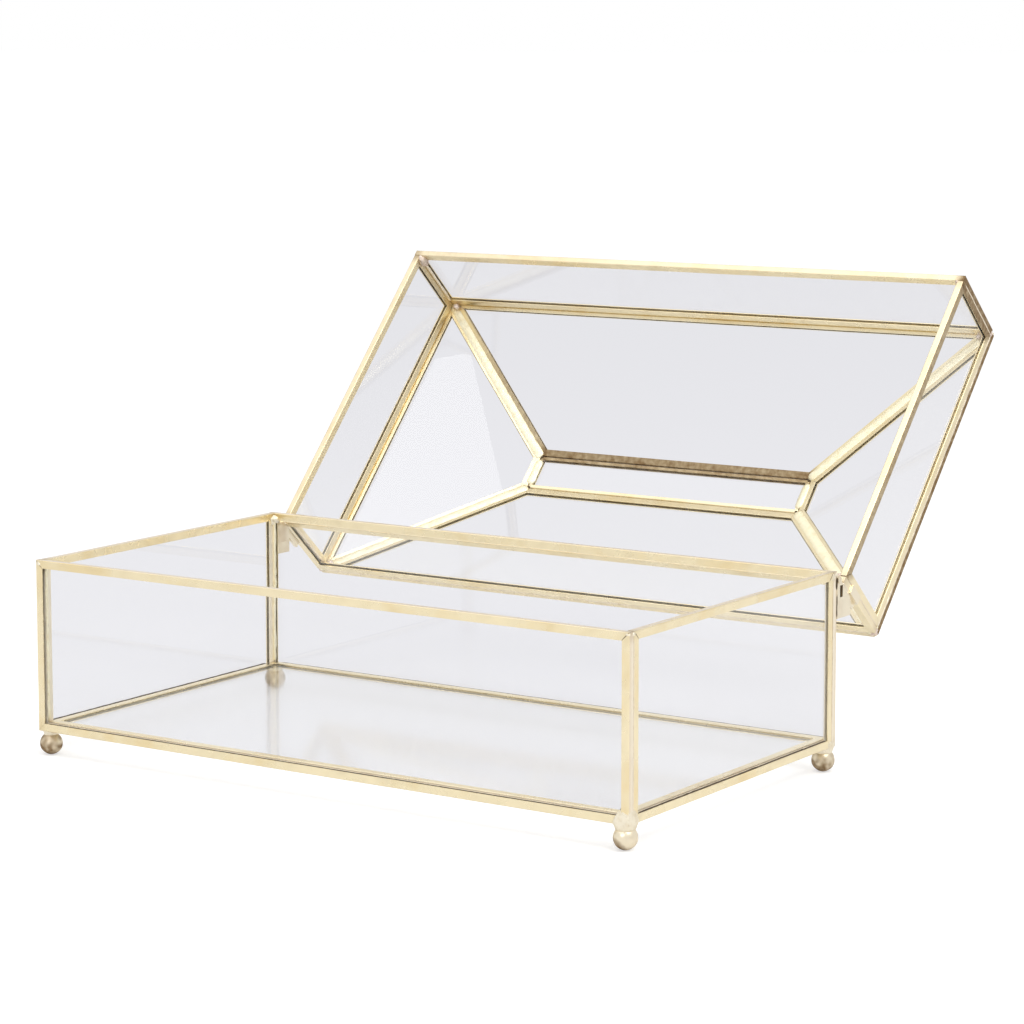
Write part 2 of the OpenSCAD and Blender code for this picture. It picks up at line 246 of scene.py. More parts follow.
def solder_material(name, light, deep, lift=0.5, rough=0.26):
    """Tinned solder under the brass plating: paler than the sheet, lumpy and pitted."""
    m = bpy.data.materials.new(name)
    t = Tree(m)
    obj = t.add("ShaderNodeTexCoord").outputs["Object"]
    lumpy = t.noise(obj, LUMPS, 4.0, 0.6)
    grain = t.noise(obj, PITS, 3.0, 0.6)
    tone = t.ramp(lumpy, (0.32, deep), (0.55, light))
    pits = t.ramp(grain, (0.62, BLACK), (0.72, WHITE))
    tone = t.mix(t.math("MULTIPLY", pits, 0.3), tone, rgb(*PIT))
    r = t.math("ADD", t.math("MULTIPLY", grain, 0.25), rough)
    normal = t.bump(lumpy, lift, 0.0005)
    normal = t.bump(grain, 0.3, 0.0001, normal)
    p = t.add("ShaderNodeBsdfPrincipled", Base_Color=tone, Metallic=1.0, Roughness=r, Normal=normal)
    t.surface(p.outputs[0])
    return m


def glass_material(name, rough=0.0, ior=1.35):
    """Clear float glass with a very faint wave and a trace of dust; light passes it without caustics."""
    m = bpy.data.materials.new(name)
    t = Tree(m)
    obj = t.add("ShaderNodeTexCoord").outputs["Object"]
    wave = t.noise(obj, WAVES, 2.0, 0.5)
    dust = t.noise(obj, DUST, 4.0, 0.7)
    film = t.ramp(dust, (0.60, WHITE), (0.85, DUSTY))
    normal = t.bump(wave, 0.03, 0.0004)
    p = t.add("ShaderNodeBsdfPrincipled", Base_Color=film, Roughness=rough, Normal=normal)
    p.inputs["Transmission Weight"].default_value = 1.0
    p.inputs["IOR"].default_value = ior
    p.inputs["Specular IOR Level"].default_value = 0.25
    clear = t.add("ShaderNodeBsdfTransparent", Color=GLASS_SHADOW)
    path = t.add("ShaderNodeLightPath")
    mix = t.add("ShaderNodeMixShader")
    t.put(mix, "0", path.outputs["Is Shadow Ray"])
    t.put(mix, "1", p.outputs[0])
    t.put(mix, "2", clear.outputs[0])
    t.surface(mix.outputs[0])
    return m


BRASS = brass_material("brass_channel", (0.885, 0.775, 0.53), (0.85, 0.70, 0.42), 0.27,
                       web=(0.80, 0.69, 0.54))
HINGE = brass_material("brass_hinge", (0.84, 0.76, 0.60), (0.66, 0.54, 0.38), 0.34, drawn=False)
BALL = brass_material("brass_ball", (0.88, 0.79, 0.61), (0.76, 0.64, 0.46), 0.34, drawn=False)
SOLDER = solder_material("plated_solder", (0.88, 0.81, 0.66), (0.78, 0.69, 0.52), 0.5, 0.34)
LUMP = solder_material("pinkish_solder", (0.82, 0.71, 0.62), (0.66, 0.53, 0.45), 0.5, 0.46)
SEAM = solder_material("plated_seam", (0.86, 0.76, 0.60), (0.76, 0.64, 0.47), 0.3)
INSIDE = solder_material("plated_inside", (0.98, 0.92, 0.71), (0.92, 0.83, 0.58), 0.25, 0.40)
# Burnt flux, dark in the mitres; the same dark material is also used as painted shade in shaded gaps and
# slots
FLUX_AND_SHADE = solder_material("burnt_flux_and_shade", (0.12, 0.085, 0.05), (0.07, 0.05, 0.03), 0.2)
GLASS = glass_material("clear_glass")
FLOOR_GLASS = glass_material("scuffed_floor_glass", 0.09, 1.14)


# Making objects

def finish(obj, mat):
    """Gives an object one material and no other."""
    obj.data.materials.clear()
    obj.data.materials.append(mat)


def as_object(name, bm, mat):
    """One object from a bmesh, which is freed."""
    me = bpy.data.meshes.new(name)
    bm.to_mesh(me)
    bm.free()
    obj = bpy.data.objects.new(name, me)
    bpy.context.scene.collection.objects.link(obj)
    finish(obj, mat)
    return obj


def joined(name, parts, mat):
    """One object from several bmeshes, which are freed."""
    total = bmesh.new()
    for bm in parts:
        me = bpy.data.meshes.new("part")
        bm.to_mesh(me)
        bm.free()
        total.from_mesh(me)
        bpy.data.meshes.remove(me)
    return as_object(name, total, mat)


def eased_edges(bm, edges, offset, segments):
    """Rounds edges over."""
    bmesh.ops.bevel(bm, geom=edges, offset=offset, offset_type="OFFSET", segments=segments, profile=0.5,
                    affect="EDGES", clamp_overlap=True)


def islands(bm):
    """The vertices of each loose part, in the mesh's own order."""
    seen = set()
    for start in bm.verts:
        if start in seen:
            continue
        seen.add(start)
        part = [start]
        for v in part:
            for e in v.link_edges:
                other = e.other_vert(v)
                if other not in seen:
                    seen.add(other)
                    part.append(other)
        yield part


def solids(node):
    """Each loose part of a CAD node as a bmesh of its own, with flat faces in one piece."""
    bm = bmesh.new()
    bm.from_mesh(nodes[node].data)
    bmesh.ops.remove_doubles(bm, verts=bm.verts, dist=2e-6)
    bmesh.ops.dissolve_limit(bm, angle_limit=math.radians(1), verts=bm.verts, edges=bm.edges)
    for part in islands(bm):
        one = bmesh.new()
        twin = {v: one.verts.new(v.co) for v in part}
        for f in bm.faces:
            if f.verts[0] in twin:
                one.faces.new([twin[v] for v in f.verts])
        one.normal_update()
        yield one
    bm.free()


def sharp_edges(bm, least_angle):
    """Edges that stick out, by more than an angle in degrees."""
    return [e for e in bm.edges if len(e.link_faces) == 2 and e.is_convex
            and e.calc_face_angle(0.0) > math.radians(least_angle)]


# Channels: the CAD bars with rolled outer corners, eased lips and a slight wave

LONG_EDGE = 6 * MM
CORNER_ANGLE = 25
WEB_LEAST = 1.2 * MM
LIP_LEAST, LIP_MOST = 0.35 * MM, 0.6 * MM
LIP_FACE_MOST = 0.7 * MM
CORNER_ROLL = 0.5 * MM
LIP_EASE = 0.1 * MM
CUT_SPACING = 5 * MM
FLANGE_T = 0.6 * MM
OUTER_SKIN, WEB_SKIN = 0.2 * MM, 0.1 * MM
WOBBLE, WOBBLE_FADE = 0.045 * MM, 8 * MM
# Painted shade at the ends of each bar, where the bars meet: how deep it is at the very end and how far
# in it reaches
END_SHADE, END_REACH = 0.30, 3 * MM
MOTTLE = 0.16
GILT_REACH = 9 * MM
GILT_CORNER = Vector((-half_x, -half_y, eave_z))
LID_WEB = 0.3

# Painted dark reflections on the lid's brass, where it should mirror something dark: how far they reach
# in from its right wall, down from the flat top and onto it, and how far from the front wall those on
# the left half of the front slope start
WALL_SHADE, CROWN_SHADE, TOP_SHADE, SLOPE_SHADE = 2 * MM, 5 * MM, 2.5 * MM, 6 * MM


def painted_dark_reflection(node, p, on_web):
    """How deep the painted dark reflections on the lid's brass are at a point of the shut box, from 0 to
    1.
    """
    front_post = p.y < STRIP + channel_t - half_y
    if node == "skirt_right_came" and p.x > half_x - OUTER_SKIN:
        return 0.95 if front_post else 0.7 if p.z < lid_z + STRIP else 0.0
    if node == "skirt_front_came":
        post = 1.0 if p.x > half_x - OUTER_SKIN else 0.4 if p.x < STRIP - half_x else 0.0
        return post or max(0.0, -p.x / half_x) * 0.22
    if node == "skirt_left_came":
        return 0.4 if front_post else 0.18
    if node == "roof_right_came":
        return 1.0 if on_web and p.x > half_x - WALL_SHADE else 0.0
    if node == "roof_front_came":
        if p.y > -crown_y - CROWN_SHADE:
            return 0.9
        return 0.6 if p.x < 0 and p.y > SLOPE_SHADE - half_y else 0.0
    if node == "roof_top_came":
        return 0.8 if p.y < TOP_SHADE - crown_y else 0.0
    return 0.0


def faces_in(node, p):
    """1 on the flanges under the rim that face into the box, which are made paler and less metallic."""
    if p.z > rim_z - STRIP:
        return 0.0
    if node in ("base_left_came", "base_right_came"):
        return 1.0 if half_x - abs(p.x) > channel_t - FLANGE_T else 0.0
    if node in ("base_front_came", "base_back_came"):
        return 1.0 if half_y - abs(p.y) > channel_t - FLANGE_T else 0.0
    return 0.0


def narrow_face(f):
    """True on the two thin long faces at the lips of a channel bar."""
    long = max(e.calc_length() for e in f.edges)
    return long > LONG_EDGE and f.calc_area() / long < LIP_FACE_MOST


def narrow(e):
    """Width of the narrower of the two faces at an edge."""
    return min(f.calc_area() for f in e.link_faces) / e.calc_length()


def long_convex(bm):
    """The long edges of a bar that stick out."""
    return [e for e in sharp_edges(bm, CORNER_ANGLE) if e.calc_length() > LONG_EDGE]


def longest_axis(part, guess):
    """Direction of the bar: the mean of the edges that run nearly along the guess."""
    g = guess.normalized()
    total = Vector()
    for v in part:
        for e in v.link_edges:
            d = e.verts[1].co - e.verts[0].co
            c = d.dot(g)
            if abs(c) > 0.9 * d.length and d.length > 2 * MM:
                total += d * (1 if c > 0 else -1)
    return total.normalized() if total.length > 0 else g


def lay_uvs(bm, axis, k):
    """UVs in metres: along the bar, and round it. Each bar starts at a place of its own."""
    uv = bm.loops.layers.uv.new("UVMap")
    for f in bm.faces:
        side = axis.cross(f.normal)
        if side.length < 0.2:
            side = axis.orthogonal()
        side.normalize()
        for loop in f.loops:
            p = loop.vert.co
            loop[uv].uv = (p.dot(axis) + 0.37 * k, p.dot(side) + 0.11 * k)


def rolled_bar(bm, k, node):
    """Rolls the outer corners of a channel bar, eases its lips, and gives it wave, UVs, tarnish and
    painted shade.
    """
    open_side = sum((f.normal for f in bm.faces if narrow_face(f)), Vector()).normalized()
    eased_edges(bm, [e for e in long_convex(bm) if narrow(e) > WEB_LEAST], CORNER_ROLL, 4)
    eased_edges(bm, [e for e in long_convex(bm) if LIP_LEAST < narrow(e) < LIP_MOST], LIP_EASE, 2)
    edges = [e for e in bm.edges if e.calc_length() > LONG_EDGE]
    cuts = max(4, int(max(e.calc_length() for e in edges) / CUT_SPACING))
    bmesh.ops.subdivide_edges(bm, edges=edges, cuts=cuts, use_grid_fill=True)
    pts = [v.co for v in bm.verts]
    centre = sum(pts, Vector()) / len(pts)
    far = max(pts, key=lambda p: (p - centre).length)
    axis = longest_axis(bm.verts, far - centre)
    lay_uvs(bm, axis, k)
    dark, web, gilt, pale = (bm.verts.layers.float.new(a) for a in ("tarnish_and_shade", "web", "gilt", "pale"))
    pts = [v.co for v in bm.verts]
    lo = min(p.dot(axis) for p in pts)
    hi = max(p.dot(axis) for p in pts)
    face_of_web = min(p.dot(open_side) for p in pts)
    for v in bm.verts:
        from_end = min(v.co.dot(axis) - lo, hi - v.co.dot(axis))
        mottle = noise.noise(v.co * 260 + Vector((k, 0, 0)))
        v[web] = 1.0 if v.co.dot(open_side) - face_of_web < WEB_SKIN else 0.0
        # Painted shade near the bar's ends, where the bars meet, plus a random mottle of tarnish
        v[dark] = max(0.0, END_SHADE - from_end / END_REACH) + max(0.0, MOTTLE * mottle)
        v[pale] = faces_in(node, v.co)
        if not node.startswith("base_"):
            p = shut(v.co)
            v[gilt] = min(1.0, max(0.0, 1.7 - (p - GILT_CORNER).length / GILT_REACH))
            # On the lid, painted dark reflections in brown, where the brass should mirror something dark
            v[dark] += painted_dark_reflection(node, p, v[web] > 0.5) * (1 - v[gilt])
            v[web] *= LID_WEB
        wave = Vector([noise.noise(v.co * 45 + Vector((7.0 * a + k, 3.1, 1.7))) for a in range(3)])
        wave -= axis * wave.dot(axis)
        v.co += wave * WOBBLE * min(1.0, from_end / WOBBLE_FADE)
    return bm


for node in sorted(nodes):
    if node.endswith("_came"):
        bars = [rolled_bar(bm, k, node) for k, bm in enumerate(solids(node))]
        piece = joined(node.replace("_came", "_channel"), bars, BRASS)
        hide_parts(node)
        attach(piece, "base" if node.startswith("base_") else "lid")
    elif node.endswith("_glass"):
        finish(nodes[node], FLOOR_GLASS if node == "base_floor_glass" else GLASS)


# Solder: uneven runs along the seams, lumps at the corners

RUN_STEP = 1.2 * MM
RUN_SIDES = 8
RUN_TAPER = 2 * MM
RUN_DRIFT = 0.14 * MM


def skinned(bm, rings):
    """Faces between rings of as many vertices each, and the two ends."""
    for r0, r1 in zip(rings, rings[1:]):
        for k in range(len(r0)):
            n = (k + 1) % len(r0)
            bm.faces.new([r0[k], r0[n], r1[n], r1[k]])
    bm.faces.new(rings[0][::-1])
    bm.faces.new(rings[-1])


def run(bm, a, b, out, size, seed, place=same, swell=0.38):
    """Adds a run of solder from a to b, an uneven ellipse that is thin at both ends.

    Its size is the width, and the height towards out.
    """
    a, b, out = Vector(a), Vector(b), Vector(out).normalized()
    width, height = size
    length = (b - a).length
    axis = (b - a) / length
    side = axis.cross(out)
    count = max(6, int(length / RUN_STEP))
    wide, high = side * width / 2, out * height
    turns = [2 * math.pi * k / RUN_SIDES for k in range(RUN_SIDES)]
    rings = []
    for i in range(count + 1):
        s = length * i / count
        end = min(1.0, math.sqrt(max(0.0, min(s, length - s)) / RUN_TAPER) + 0.08)
        thick = end * (1 + swell * noise.noise(Vector((s * 330, seed * 3.1, 0.7))))
        c = a + axis * s + side * RUN_DRIFT * noise.noise(Vector((s * 160, seed * 1.7, 5.2)))
        rings.append([bm.verts.new(place(c + thick * (wide * math.cos(q) + high * math.sin(q))))
                      for q in turns])
    skinned(bm, rings)


def lump(bm, centre, size, seed, place=same, floor_at=-1.0):
    """Adds a lump of solder with the given half sizes, kept above a level of the shut box."""
    for v in bmesh.ops.create_icosphere(bm, subdivisions=3, radius=1.0)["verts"]:
        n = noise.noise(v.co * 1.5 + Vector((seed * 2.3, seed, 0.3)))
        n += 0.5 * noise.noise(v.co * 3.6 + Vector((seed, 4.0, seed)))
        p = Vector([centre[i] + size[i] * v.co[i] * (1 + 0.30 * n) for i in range(3)])
        p.z = max(p.z, floor_at)
        v.co = place(p)


def soldered(name, bm, mat, body, *stands_for):
    """Turns a bmesh of solder into a smooth piece that rides on a body."""
    bmesh.ops.recalc_face_normals(bm, faces=bm.faces)
    for f in bm.faces:
        f.smooth = True
    obj = as_object(name, bm, mat)
    if stands_for:
        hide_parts(*stands_for)
    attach(obj, body)


# Sizes of the runs: width and height
POST_SEAM = (0.7 * MM, 0.10 * MM)
INSIDE_BEAD = (1.5 * MM, 0.75 * MM)
LONG_FOOT_LINE = (0.45 * MM, 0.22 * MM)
SHORT_FOOT_LINE = (0.5 * MM, 0.5 * MM)
MITRE_LINE = (0.30 * MM, 0.06 * MM)
EAVE_RUN = (1.1 * MM, 0.5 * MM)
HIP_RUN = (1.6 * MM, 0.85 * MM)
HIP_INSIDE_RUN = (5.6 * MM, 0.75 * MM)
CROWN_RUN = (1.1 * MM, 0.65 * MM)
CROWN_INSIDE_RUN = (4.4 * MM, 0.6 * MM)

BEAD_IN = 0.35 * MM
SEAM_Y = half_y - channel_t - 0.05 * MM
BEAD_X = half_x - channel_t - BEAD_IN
BEAD_Y = half_y - channel_t - BEAD_IN

# How far the upright runs stay off the ends of their corners
NEAR_END, OFF_END = 1 * MM, 3 * MM


def post_seams(bm, z0, z1, place):
    """The butt seams that show on the ends, one at every upright corner."""
    for k, (sx, sy) in enumerate(CORNERS):
        x, y = sx * half_x, sy * SEAM_Y
        run(bm, (x, y, z0), (x, y, z1), (sx, 0, 0), POST_SEAM, k + z0, place)


def inside_beads(bm, z0, z1, place):
    """A bead inside every upright corner."""
    for k, (sx, sy) in enumerate(CORNERS):
        x, y = sx * BEAD_X, sy * BEAD_Y
        run(bm, (x, y, z0), (x, y, z1), (-sx, -sy, 0), INSIDE_BEAD, 7 + k + z0, place)


# Base: upright seams and inside beads
bm = bmesh.new()
post_seams(bm, base_z + NEAR_END, rim_z - OFF_END, same)
soldered("base_post_seams", bm, SEAM, "base")

bm = bmesh.new()
inside_beads(bm, floor_top, rim_z - NEAR_END, same)
soldered("base_inside_beads", bm, INSIDE, "base", "base_corner_solder")

# Painted shade: dark lines where the foot rails meet the glass, for the shaded gap there, stronger at
# the ends of the box
RAIL_TOP = base_z + FACE
GLASS_IN = 0.55 * MM
LONG_FOOT_END, SHORT_FOOT_END = 5 * MM, 7.5 * MM
bm = bmesh.new()
for s in SIDES:
    x, y = half_x - LONG_FOOT_END, s * (half_y - GLASS_IN)
    run(bm, (-x, y, RAIL_TOP), (x, y, RAIL_TOP), UP, LONG_FOOT_LINE, 20 + s, swell=0.2)
for s in SIDES:
    x, y = s * (half_x - GLASS_IN), half_y - SHORT_FOOT_END
    run(bm, (x, -y, RAIL_TOP), (x, y, RAIL_TOP), UP, SHORT_FOOT_LINE, 24 + s, swell=0.2)
soldered("foot_rail_painted_shade", bm, FLUX_AND_SHADE, "base")

# Lumps at the base's rim corners and along its foot, bigger at the back where the hinges are. Those on
# the back wall stay within its face, clear of the hinge straps.
RIM_LUMPS = {(-1, -1): 1.3, (-1, 1): 2.3, (1, -1): 0.8, (1, 1): 1.7}
PROUD_OF_END = 0.4 * MM
PROUD_OF_WALL = {-1: 0.2 * MM, 1: -0.35 * MM}
FOOT_LUMP_Y, FOOT_LUMP_Z = half_y - 4.5 * MM, base_z + 1.6 * MM
bm = bmesh.new()
for k, (sx, sy) in enumerate(CORNERS):
    r = RIM_LUMPS[sx, sy] * MM
    end_x, wall_y = half_x - r + PROUD_OF_END, half_y - r + PROUD_OF_WALL[sy]
    lump(bm, (sx * end_x, sy * (half_y - channel_t), rim_z - 1.5 * r), (r, 1.3 * r, 1.2 * r), 3 + k)
    lump(bm, (sx * (half_x - 1.2 * r), sy * wall_y, rim_z - 1.3 * r), (1.3 * r, r, r), 9 + k)
    lump(bm, (sx * (half_x - 0.75 * r), sy * FOOT_LUMP_Y, FOOT_LUMP_Z), (r, 1.3 * r, r), 15 + k)
soldered("base_corner_lumps", bm, SOLDER, "base")


# Flux burnt dark along the mitres of the walls' rim and of the skirt
MITRE_START, MITRE_END = 0.15 * MM, FACE + 0.1 * MM


def mitre_line(bm, corner, inward, out, seed, place):
    """A dark line from a corner to the inner edge of the rail there."""
    corner, inward = Vector(corner), Vector(inward)
    run(bm, corner + inward * MITRE_START, corner + inward * MITRE_END, out, MITRE_LINE, seed, place)


def mitre_lines(bm, z, climb, place):
    """On every wall, at the rail that lies at z and whose inner edge is on the side climb."""
    for k, (sx, sy) in enumerate(CORNERS):
        mitre_line(bm, (sx * half_x, sy * half_y, z), (-sx, 0, climb), (0, sy, 0), k + z, place)
        mitre_line(bm, (sx * half_x, sy * SEAM_Y, z), (0, -sy, climb), (sx, 0, 0), k + z + 5, place)


bm = bmesh.new()
mitre_lines(bm, rim_z, -1, same)
soldered("base_mitre_flux", bm, FLUX_AND_SHADE, "base")

bm = bmesh.new()
mitre_lines(bm, lid_z, 1, opened)
soldered("skirt_mitre_flux", bm, FLUX_AND_SHADE, "lid")


# Lid: upright seams, inside beads, eave, hip and crown runs, corner lumps
eaves = {c: Vector((c[0] * half_x, c[1] * half_y, eave_z)) for c in CORNERS}
crowns = {c: Vector((c[0] * crown_x, c[1] * crown_y, crown_z)) for c in CORNERS}
lap_z = eave_z - channel_t * math.cos(pitch_y)

bm = bmesh.new()
post_seams(bm, lid_z + OFF_END, lap_z - NEAR_END, opened)
soldered("skirt_post_seams", bm, SEAM, "lid")

bm = bmesh.new()
inside_beads(bm, lid_z + NEAR_END, lap_z - OFF_END, opened)
soldered("skirt_inside_beads", bm, SEAM, "lid", "skirt_corner_solder")


def roof_normals(sx, sy):
    """Outward normals of the end slope and of the long slope on two sides of the lid."""
    return (Vector((sx * math.sin(pitch_x), 0, math.cos(pitch_x))),
            Vector((0, sy * math.sin(pitch_y), math.cos(pitch_y))))


# In the notch under the roof's edge
EAVE_INSET = 0.55 * MM
EAVE_END = 3 * MM
EAVE_DROOP = -0.35
EAVE_RISE = 0.35 * MM
z = lap_z + EAVE_RISE
bm = bmesh.new()
for k, s in enumerate(SIDES):
    x, y = half_x - EAVE_END, s * (half_y - EAVE_INSET)
    run(bm, (-x, y, z), (x, y, z), (0, s, EAVE_DROOP), EAVE_RUN, 31 + k, opened)
    x, y = s * (half_x - EAVE_INSET), half_y - EAVE_END
    run(bm, (x, -y, z), (x, y, z), (s, 0, EAVE_DROOP), EAVE_RUN, 33 + k, opened)
soldered("eave_run", bm, SEAM, "lid", "eave_solder")

HIP_SINK = 0.95 * MM
bm = bmesh.new()
for k, c in enumerate(CORNERS):
    nx, ny = roof_normals(*c)
    out = (nx + ny).normalized()
    run(bm, eaves[c] - out * HIP_SINK, crowns[c] - out * HIP_SINK, out, HIP_RUN, 40 + k, opened)
soldered("hip_run", bm, SEAM, "lid", "hip_solder")

# Wide flat runs inside the roof, over the seams of the hips and of the flat top. On the front hips they
# lie to one side, which leaves a strip of the channel bare.
INSIDE_DEPTH = channel_t + 0.05 * MM
HIP_SHIFT = {(-1, -1): 0.7 * MM, (1, -1): -0.7 * MM, (-1, 1): 0.0, (1, 1): 0.0}
bm = bmesh.new()
for k, c in enumerate(CORNERS):
    nx, ny = roof_normals(*c)
    out = (nx + ny).normalized()
    sunk = (nx - ny).normalized() * HIP_SHIFT[c] - out * INSIDE_DEPTH
    run(bm, eaves[c] + sunk, crowns[c] + sunk, -out, HIP_INSIDE_RUN, 44 + k, opened, 0.10)
soldered("hip_inside_run", bm, INSIDE, "lid")

CROWN_SINK = 0.7 * MM
bm = bmesh.new()
for k, s in enumerate(SIDES):
    nx, ny = roof_normals(s, s)
    out = (ny + UP).normalized()
    a, b = crowns[-1, s] - out * CROWN_SINK, crowns[1, s] - out * CROWN_SINK
    run(bm, a, b, out, CROWN_RUN, 50 + k, opened)
    out = (nx + UP).normalized()
    a, b = crowns[s, -1] - out * CROWN_SINK, crowns[s, 1] - out * CROWN_SINK
    run(bm, a, b, out, CROWN_RUN, 54 + k, opened)
soldered("crown_run", bm, SEAM, "lid", "crown_solder")

bm = bmesh.new()
for k, s in enumerate(SIDES):
    out = (roof_normals(s, s)[0] + UP).normalized()
    a, b = crowns[s, -1] - out * INSIDE_DEPTH, crowns[s, 1] - out * INSIDE_DEPTH
    run(bm, a.lerp(b, 0.1), a.lerp(b, 0.9), -out, CROWN_INSIDE_RUN, 58 + k, opened, 0.10)
soldered("crown_inside_run", bm, INSIDE, "lid")

# Painted shade: dark lumps inside the corners of the flat top, where the gaps there are in shade
CROWN_INSET = 0.4 * MM
PIT_SIZE = (0.9 * MM, 0.6 * MM, 0.35 * MM)
PIT_Z = crown_z - channel_t - 0.1 * MM
bm = bmesh.new()
for k, (sx, sy) in enumerate(CORNERS):
    inner = (sx * (crown_x - CROWN_INSET), sy * (crown_y - CROWN_INSET), PIT_Z)
    lump(bm, inner, PIT_SIZE, 84 + k, opened)
soldered("crown_painted_shade", bm, FLUX_AND_SHADE, "lid")

# Lumps at the lid's corners: at the rim, on the eaves, inside under the eaves and on the flat top
LID_LUMPS = {(-1, -1): 2.5, (-1, 1): 1.6, (1, -1): 0.8, (1, 1): 1.8}
EAVE_LUMPS = {(-1, -1): 1.5, (-1, 1): 1.7, (1, -1): 2.4, (1, 1): 1.9}
UNDER_EAVE = Vector((half_x - 6.0 * MM, half_y - 4.6 * MM, eave_z - 3.4 * MM))
UNDER_EAVE_SIZE = (1.8 * MM, 1.7 * MM, 1.6 * MM)
TOP_LUMP_SIZE = (1.6 * MM, 1.6 * MM, 1.4 * MM)
TOP_LUMP_Z = crown_z - 1.3 * MM
BELOW_RIM = 0.08 * MM
bm = bmesh.new()
for k, (sx, sy) in enumerate(CORNERS):
    r = LID_LUMPS[sx, sy] * MM
    at_rim = (sx * (half_x - channel_t - 0.2 * r), sy * (half_y - channel_t - 0.2 * r), lid_z + 1.4 * r)
    lump(bm, at_rim, (r, r, 1.5 * r), 60 + k, opened, floor_at=lid_z - BELOW_RIM)
    r = EAVE_LUMPS[sx, sy] * MM
    at_eave = (sx * (half_x - 0.9 * r), sy * (half_y - 0.9 * r), eave_z - 1.2 * r)
    lump(bm, at_eave, (r, r, 1.1 * r), 66 + k, opened)
    lump(bm, (sx * UNDER_EAVE.x, sy * UNDER_EAVE.y, UNDER_EAVE.z), UNDER_EAVE_SIZE, 72 + k, opened)
    on_top = (sx * (crown_x - CROWN_INSET), sy * (crown_y - CROWN_INSET), TOP_LUMP_Z)
    lump(bm, on_top, TOP_LUMP_SIZE, 78 + k, opened)
soldered("lid_corner_lumps", bm, LUMP, "lid")


# Feet: dented balls under lumpy necks of solder

quarter = [v.co for v in nodes["ball_feet"].data.vertices if v.co.x > 0 and v.co.y > 0]
foot_lo, foot_hi = box_of(quarter)
foot_x, foot_y = (foot_lo[0] + foot_hi[0]) / 2, (foot_lo[1] + foot_hi[1]) / 2
ball_r = (foot_hi[0] - foot_lo[0]) / 2
ball_z = foot_hi[2] - ball_r

# A ball's surface, as parts of its radius, the direction and start of the painted shade on its lower
# left, and how brown each ball is
BALL_SKIN = 0.985
DENT, DIMPLE = 0.020, 0.007
PRESSED_SEAM, SEAM_LEVEL, SEAM_TILT, SEAM_SPREAD = 0.010, 0.42, 0.05, 0.02
BALL_SHADE = Vector((-0.55, -0.45, -0.70))
SHADE_FROM = 0.42
BALL_BROWN = {(-1, -1): 0.62, (-1, 1): 0.5, (1, -1): 0.06, (1, 1): 0.54}


def dented_ball(bm, centre, seed, brown):
    """A ball with shallow dents and a pressed seam, inside the plain ball, with painted shade low on its
    left and mottled brown that is stronger towards the bottom.
    """
    dark = bm.verts.layers.float.get("tarnish_and_shade") or bm.verts.layers.float.new("tarnish_and_shade")
    for v in bmesh.ops.create_icosphere(bm, subdivisions=5, radius=1.0)["verts"]:
        d = v.co.normalized()
        dent = DENT * noise.noise(d * 1.4 + Vector((seed, 0, 3 * seed)))
        dent += DIMPLE * noise.noise(d * 4.5 + Vector((0, seed, 1)))
        seam = PRESSED_SEAM * math.exp(-((d.z - SEAM_LEVEL + SEAM_TILT * d.x) / SEAM_SPREAD) ** 2)
        ragged = 0.25 * noise.noise(d * 2.2 + Vector((seed, 0, 0)))
        # Painted shade on the ball's lower left, with a ragged edge, then mottled brown that is stronger
        # towards the bottom
        low = max(0.0, (d.dot(BALL_SHADE) - SHADE_FROM + ragged) * 2.0)
        mottle = brown * (1 + 1.2 * noise.noise(d * 2.1 + Vector((0, 0, seed)))) * (1 - 0.5 * d.z)
        v[dark] = min(1.0, low + mottle)
        v.co = centre + d * ball_r * min(1.0, BALL_SKIN + dent - seam)
        v.co.z = max(v.co.z, 0.0)


# Rings of a neck, upwards: height, half width in mm, power of the outline (2 is round, more is squarer)
# and how far in mm it reaches inwards from the ball's centre
NECK = [
    (ball_z + 3.0 * MM, 3.7, 2.0, 3.7),
    (ball_z + 3.3 * MM, 4.0, 2.0, 4.0),
    (ball_z + 4.2 * MM, 4.1, 2.4, 4.1),
    (base_z - 0.3 * MM, 4.15, 3.6, 4.0),
    (base_z + 0.6 * MM, 4.15, 6.0, 3.6),
    (base_z + 1.8 * MM, 4.08, 10.0, 3.0),
    (base_z + 3.0 * MM, 4.0, 16.0, 2.3),
    (base_z + 4.2 * MM, 3.93, 22.0, 1.4),
    (base_z + 5.4 * MM, 3.84, 30.0, 0.6),
    (base_z + 6.2 * MM, 3.0, 30.0, 0.4),
]
NECK_SIDES = 64
NECK_CLIMB = {(-1, -1): 0.2, (-1, 1): 0.3, (1, -1): 1.0, (1, 1): 0.7}
NECK_GIRTH = {(-1, -1): 0.72, (-1, 1): 0.8, (1, -1): 1.0, (1, 1): 0.95}
NECK_LUMPS = 0.5 * MM


def neck(bm, sx, sy, seed):
    """A solder neck that grips the ball and climbs round the base's corner."""
    rings = []
    for z, half, power, inward in NECK:
        z = min(z, base_z) + max(0.0, z - base_z) * NECK_CLIMB[sx, sy]
        half *= NECK_GIRTH[sx, sy] * MM
        ring = []
        for k in range(NECK_SIDES):
            q = 2 * math.pi * k / NECK_SIDES
            u, v = math.cos(q), math.sin(q)
            n = noise.noise(Vector((u * 1.6 + seed, v * 1.6, z * 420)))
            r = half * (1 + 0.06 * n) / (abs(u) ** power + abs(v) ** power) ** (1 / power)
            u, v = max(u * r, -inward * MM), max(v * r, -inward * MM)
            p = Vector((sx * (foot_x + u), sy * (foot_y + v), z + NECK_LUMPS * n))
            p.x = min(max(p.x, cad_box[0][0]), cad_box[1][0])
            p.y = max(p.y, cad_box[0][1])
            ring.append(bm.verts.new(p))
        rings.append(ring)
    skinned(bm, rings)


